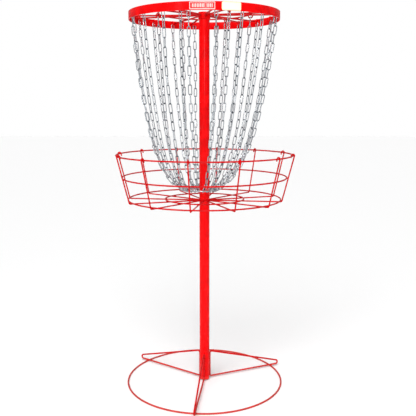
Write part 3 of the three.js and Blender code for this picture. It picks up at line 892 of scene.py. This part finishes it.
class BASKET_OT_plates(BasketOperator, bpy.types.Operator):
    """Build the embossed plate and the paper label on the band"""

    bl_idname = "disc_basket.plates"
    bl_label = "Plates on the Band"
    needs = ("name_plate", "band_label")

    def inset(self, w, v, width, height):
        """How far inside a plate's edge a place is."""
        return np.minimum(width / 2 - np.abs(w), height / 2 - np.abs(v))

    def relief(self, sizes, w, v, width):
        """How far the plate's face is raised, from 0 to 1: a border, and a row of plain upright ribs.

        The ribs stand where cos(2 pi w / pitch) is high, inside a field that stops short of the border and
        of one upright gap.
        """
        off_border = np.abs(self.inset(w, v, width, sizes.plate_height) - sizes.border)
        border = np.clip(1.6 - 2.2 * off_border / sizes.border, 0, 1)
        margin, gap, half_gap, half_rib, slope = 7 * MM, 0.14 * width, 2.5 * MM, 6 * MM, 0.7 * MM
        field = np.minimum(width / 2 - margin - np.abs(w), np.abs(w - gap) - half_gap)
        field = np.clip(np.minimum(field, half_rib - np.abs(v)) / slope, 0, 1)
        ribs = np.clip(0.5 + 1.8 * np.cos(2 * math.pi * w / sizes.rib_pitch), 0, 1)
        return np.maximum(border, field * ribs)

    def build(self, scene):
        sizes, colours = scene.plate_sizes, scene.basket_finishes
        for name, node, height, corner in (
            ("embossed_plate", "name_plate", sizes.plate_height, sizes.plate_corner),
            ("paper_label", "band_label", sizes.label_height, sizes.label_corner),
        ):
            bearing = bearing_of(node)
            points = cad_points(node) @ turns(bearing)[0]
            width = 2 * points[:, 1].max()
            seat = reach(node)[0]
            level = sum(levels(node)) / 2
            embossed = node == "name_plate"
            thick = (0.6 if embossed else 0.3) * MM

            def raised(w, v):
                return self.relief(sizes, w, v, width) if embossed else 0 * (w + v)

            def lift(w, v):
                edge, rounding = 0.35, 0.8 * MM
                sheet = np.clip(edge + self.inset(w, v, width, height) / rounding, edge, 1)
                return thick * sheet + sizes.relief * raised(w, v)

            grid, w, v = curved_plate(seat, width, height, corner, lift, 170 if embossed else 60, 40)
            yellowed = 4 * MM
            face = raised(w, v) if embossed else 1 - self.inset(w, v, width, height) / yellowed
            rub_and_shade = np.concatenate([np.clip(face, 0, 1), np.zeros((len(face), 2))], axis=1)
            finish = embossed_paint(colours) if embossed else label_paper(colours)
            skins = Skins().add(copies(grid + (0, 0, level), bearing), rub_and_shade=rub_and_shade)
            make_piece(name, skins, "head", [node], finish)


class BASKET_OT_chains(BasketOperator, bpy.types.Operator):
    """Build the collector ring and every link of the hanging chains"""

    bl_idname = "disc_basket.chains"
    bl_label = "Chains"
    needs = ("collector_ring", "outer_chain_1", "inner_chain_1")

    def link(self, sizes, pitch):
        """One link: a round wire along two half circles of radius b, centred at x = h - b and b - h."""
        half = pitch / 2 + sizes.wire / 2
        bend = (sizes.width - sizes.wire) / 2
        steps = 6
        angle = np.radians(np.linspace(-90, 90, steps))
        angle = np.concatenate([angle, angle + math.pi])
        centre = np.repeat([half - bend, bend - half], steps)
        none = 0 * angle
        points = np.stack([centre + bend * np.cos(angle), bend * np.sin(angle), none], axis=1)
        directions = np.stack([-np.sin(angle), np.cos(angle), none], axis=1)
        # Painted shade: a mark that rises towards each link's ends, where it meets the next link.
        shaded_from = 0.82
        rub_and_shade = np.clip((np.abs(points[:, 0]) / half - shaded_from) / (1 - shaded_from), 0, 1)
        return swept(points, directions, AXIS, sizes.wire / 2, 5), rub_and_shade

    def hanging(self, span, rise, whole, left):
        """Points on a chain that hangs from a place span across and rise up from its foot.

        whole is its length, and each point has that length of chain left below it. At arc length s from its
        lowest point a hanging chain is at x = a asinh(s / a) and z = sqrt(a^2 + s^2). With h half the span
        over a, sinh(h) / h is sqrt(whole^2 - rise^2) over the span, and Newton's steps find h.
        """
        ratio = math.sqrt(whole**2 - rise**2) / span
        h = math.sqrt(6 * (ratio - 1))
        for _ in range(30):
            h -= (math.sinh(h) - ratio * h) / (math.cosh(h) - ratio)
        a = span / (2 * h)
        start = a * math.sinh(math.atanh(rise / whole) - h)
        s = start + left
        x = a * (np.arcsinh(s / a) - math.asinh(start / a))
        return np.stack([x, 0 * s, np.hypot(a, s) - math.hypot(a, start)], axis=1)

    def wander(self, sizes, chance, share):
        """How far off its plane, and off its curve, a chain hangs at each share of its way down."""
        offsets = []
        for most in (sizes.sway, 0.6 * sizes.sway):
            waves, turned_by = chance.uniform(0.5, 1.6), chance.uniform(0, 2 * math.pi)
            offsets.append(most * np.sin(math.pi * share) * np.sin(2 * math.pi * waves * share + turned_by))
        return np.stack([offsets[1], offsets[0], 0 * share], axis=1)

    def build(self, scene):
        sizes, colours = scene.chain_sizes, scene.basket_finishes
        eye_wire = scene.basket_sizes.eye_wire / 2
        low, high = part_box("collector_ring")
        middle = ((low.x + high.x) / 2, (low.y + high.y) / 2, 0)
        ring, ring_height, ring_wire = hoop_sizes("collector_ring", middle[:2])
        around = hoop(ring, ring_height, ring_wire, steps=96) + middle
        weld = joint_bead(ring, ring_height, ring_wire, 187.0, 12, 0.3 * MM, 2.5 * MM) + middle
        gathered = Skins().add(around, closed=True).add(weld)
        finish = zinc_ring(colours)
        make_piece("gathering_ring", gathered, "collector", ["collector_ring"], finish)

        finish = zinc_links(colours)
        chance = np.random.default_rng(sizes.seed)
        for prefix, count, slack in (
            ("outer_chain_", sizes.outer_links, sizes.outer_slack),
            ("inner_chain_", sizes.inner_links, sizes.inner_slack),
        ):
            tops, feet = chain_ends(prefix, ring_height)
            rise = tops[0, 2] - ring_height
            whole = slack * math.hypot(math.hypot(*tops[0, :2]) - ring, rise)
            pitch = (whole + eye_wire + ring_wire) / count
            link, rub_and_shade = self.link(sizes, pitch)
            number = np.arange(count)
            step = np.arange(count + 1)
            # The last link lies square to the collector ring: an odd count is twisted to bring it there.
            twist = (math.pi / 2) * (count % 2) * number / (count - 1)
            for name, top, foot in zip(nodes_of(prefix), tops, feet):
                away = top - foot
                joints = self.hanging(math.hypot(*away[:2]), rise, whole, whole + eye_wire - step * pitch)
                path = joints + self.wander(sizes, chance, step / count)
                along = unit(np.diff(path, axis=0))
                centre = (path[1:] + path[:-1]) / 2
                flat = unit(np.cross(along, np.cross(SIDEWAYS, along)))
                other = np.cross(along, flat)
                loose = np.sin(math.pi * (number + 0.5) / count) ** 0.3
                roll = number * math.pi / 2 + twist + loose * chance.uniform(-sizes.roll, sizes.roll, count)
                width = np.cos(roll)[:, None] * flat + np.sin(roll)[:, None] * other
                axes = np.stack([along, width, np.cross(along, width)], axis=2)
                links = np.einsum("kab,ijb->kija", axes, link) + centre[:, None, None]
                heading = math.degrees(math.atan2(away[0], -away[1]))
                links = np.einsum("ab,kijb->kija", turns(heading)[0], links) + foot
                dullest = 0.45
                tone = chance.uniform(0, dullest, (count, 1, 1))
                skins = Skins().add(links, closed=True, rub_and_shade=rub_and_shade[:, None], tone=tone)
                make_piece(name + "_links", skins, name, [name], finish)


class BASKET_OT_stage(BasketOperator, bpy.types.Operator):
    """Build the floor, the light and the camera"""

    bl_idname = "disc_basket.stage"
    bl_label = "Stage"

    def floor(self, scene):
        half = 20.0
        corners = [(-half, -half, 0), (half, -half, 0), (half, half, 0), (-half, half, 0)]
        mesh = bpy.data.meshes.new("floor")
        mesh.from_pydata(corners, [], [(0, 1, 2, 3)])
        mesh.materials.append(studio_floor(scene.basket_finishes))
        floor = bpy.data.objects.new("floor", mesh)
        scene.collection.objects.link(floor)

    def surround(self, scene):
        """White behind the object, even soft light on it, and a room darker below for what shines."""
        world = bpy.data.worlds.new("studio")
        world.use_nodes = True
        tree = world.node_tree
        tree.nodes.clear()
        glow, mix = "ShaderNodeBackground", "ShaderNodeMixShader"
        white, dark = (1, 1, 1, 1), (0.03, 0.04, 0.05, 1)
        seen = add_node(tree, glow, {"Color": white, "Strength": 1.0}).outputs[0]
        soft = add_node(tree, glow, {"Color": white, "Strength": scene.stage_sizes.ambient}).outputs[0]
        place = add_node(tree, "ShaderNodeTexCoord").outputs["Generated"]
        height = add_node(tree, "ShaderNodeSeparateXYZ", links={0: place}).outputs[2]
        shade = mixed(tree, ranged(tree, height, -0.1, 0.9, 0.0, 1.0), dark, white)
        mirrored = add_node(tree, glow, {"Strength": 1.0}, {"Color": shade}).outputs[0]
        rays = add_node(tree, "ShaderNodeLightPath").outputs
        lit = add_node(tree, mix, links={0: rays["Is Glossy Ray"], 1: soft, 2: mirrored}).outputs[0]
        whole = add_node(tree, mix, links={0: rays["Is Camera Ray"], 1: lit, 2: seen}).outputs[0]
        add_node(tree, "ShaderNodeOutputWorld", links={0: whole})
        scene.world = world

    def light(self, scene, name, kind, place, target, energy, **settings):
        lamp = bpy.data.lights.new(name, kind)
        lamp.energy = energy
        for key, value in settings.items():
            setattr(lamp, key, value)
        made = bpy.data.objects.new(name, lamp)
        scene.collection.objects.link(made)
        made.location = place
        x, y, z = np.array(place) - np.array(target)
        made.rotation_euler = (math.atan2(math.hypot(x, y), z), 0, math.atan2(x, -y))

    def build(self, scene):
        stage = scene.stage_sizes
        self.floor(scene)
        self.surround(scene)
        middle = (0, 0, 0.75)
        self.light(scene, "overhead", "SUN", (-0.6, -2.8, 3.8), middle, stage.sun, angle=math.radians(50))
        front = dict(shape="RECTANGLE", size=0.16, size_y=0.6)
        self.light(scene, "front", "AREA", (0.15, -2.6, 1.6), (0, 0, 1.3), 12, **front)
        strip = dict(shape="RECTANGLE", size=0.4, size_y=2.2)
        self.light(scene, "left_strip", "AREA", (-1.6, -2.3, 1.3), (0, 0, 0.9), 8, **strip)
        self.light(scene, "right_strip", "AREA", (1.7, -2.2, 1.3), (0, 0, 0.9), 5, **strip)

        lens = bpy.data.cameras.new("camera")
        lens.lens = stage.lens
        lens.sensor_width = 36
        camera = bpy.data.objects.new("camera", lens)
        scene.collection.objects.link(camera)
        camera.location = (stage.camera_aside, -stage.camera_distance, stage.camera_height)
        camera.rotation_euler = (math.pi / 2 - stage.camera_tilt, 0, 0)
        scene.camera = camera
        scene.view_settings.view_transform = "Standard"


# ---- Sidebar ----

SETTINGS = {
    "basket_sizes": BasketSizes,
    "chain_sizes": ChainSizes,
    "plate_sizes": PlateSizes,
    "basket_finishes": Finishes,
    "stage_sizes": StageSizes,
}
OPERATORS = (
    BASKET_OT_base_rods,
    BASKET_OT_pole,
    BASKET_OT_wire_basket,
    BASKET_OT_head,
    BASKET_OT_plates,
    BASKET_OT_chains,
    BASKET_OT_stage,
)


class BASKET_PT_sidebar(bpy.types.Panel):
    """Sizes, colours and the operators that build the basket"""

    bl_label = "Disc Golf Basket"
    bl_idname = "BASKET_PT_sidebar"
    bl_space_type = "VIEW_3D"
    bl_region_type = "UI"
    bl_category = "Disc Basket"

    def draw(self, context):
        for operator in OPERATORS:
            self.layout.operator(operator.bl_idname)
        for name, group in SETTINGS.items():
            box = self.layout.box()
            box.label(text=group.__doc__)
            for key in group.__annotations__:
                box.prop(getattr(context.scene, name), key)


def register():
    for group in (*SETTINGS.values(), *OPERATORS, BASKET_PT_sidebar):
        bpy.utils.register_class(group)
    for name, group in SETTINGS.items():
        setattr(bpy.types.Scene, name, PointerProperty(type=group))


def unregister():
    for name in SETTINGS:
        delattr(bpy.types.Scene, name)
    for group in reversed((*SETTINGS.values(), *OPERATORS, BASKET_PT_sidebar)):
        bpy.utils.unregister_class(group)


def main():
    """Registers the classes and runs every operator in order."""
    register()
    for operator in OPERATORS:
        family, action = operator.bl_idname.split(".")
        getattr(getattr(bpy.ops, family), action)()


if __name__ == "__main__":
    main()
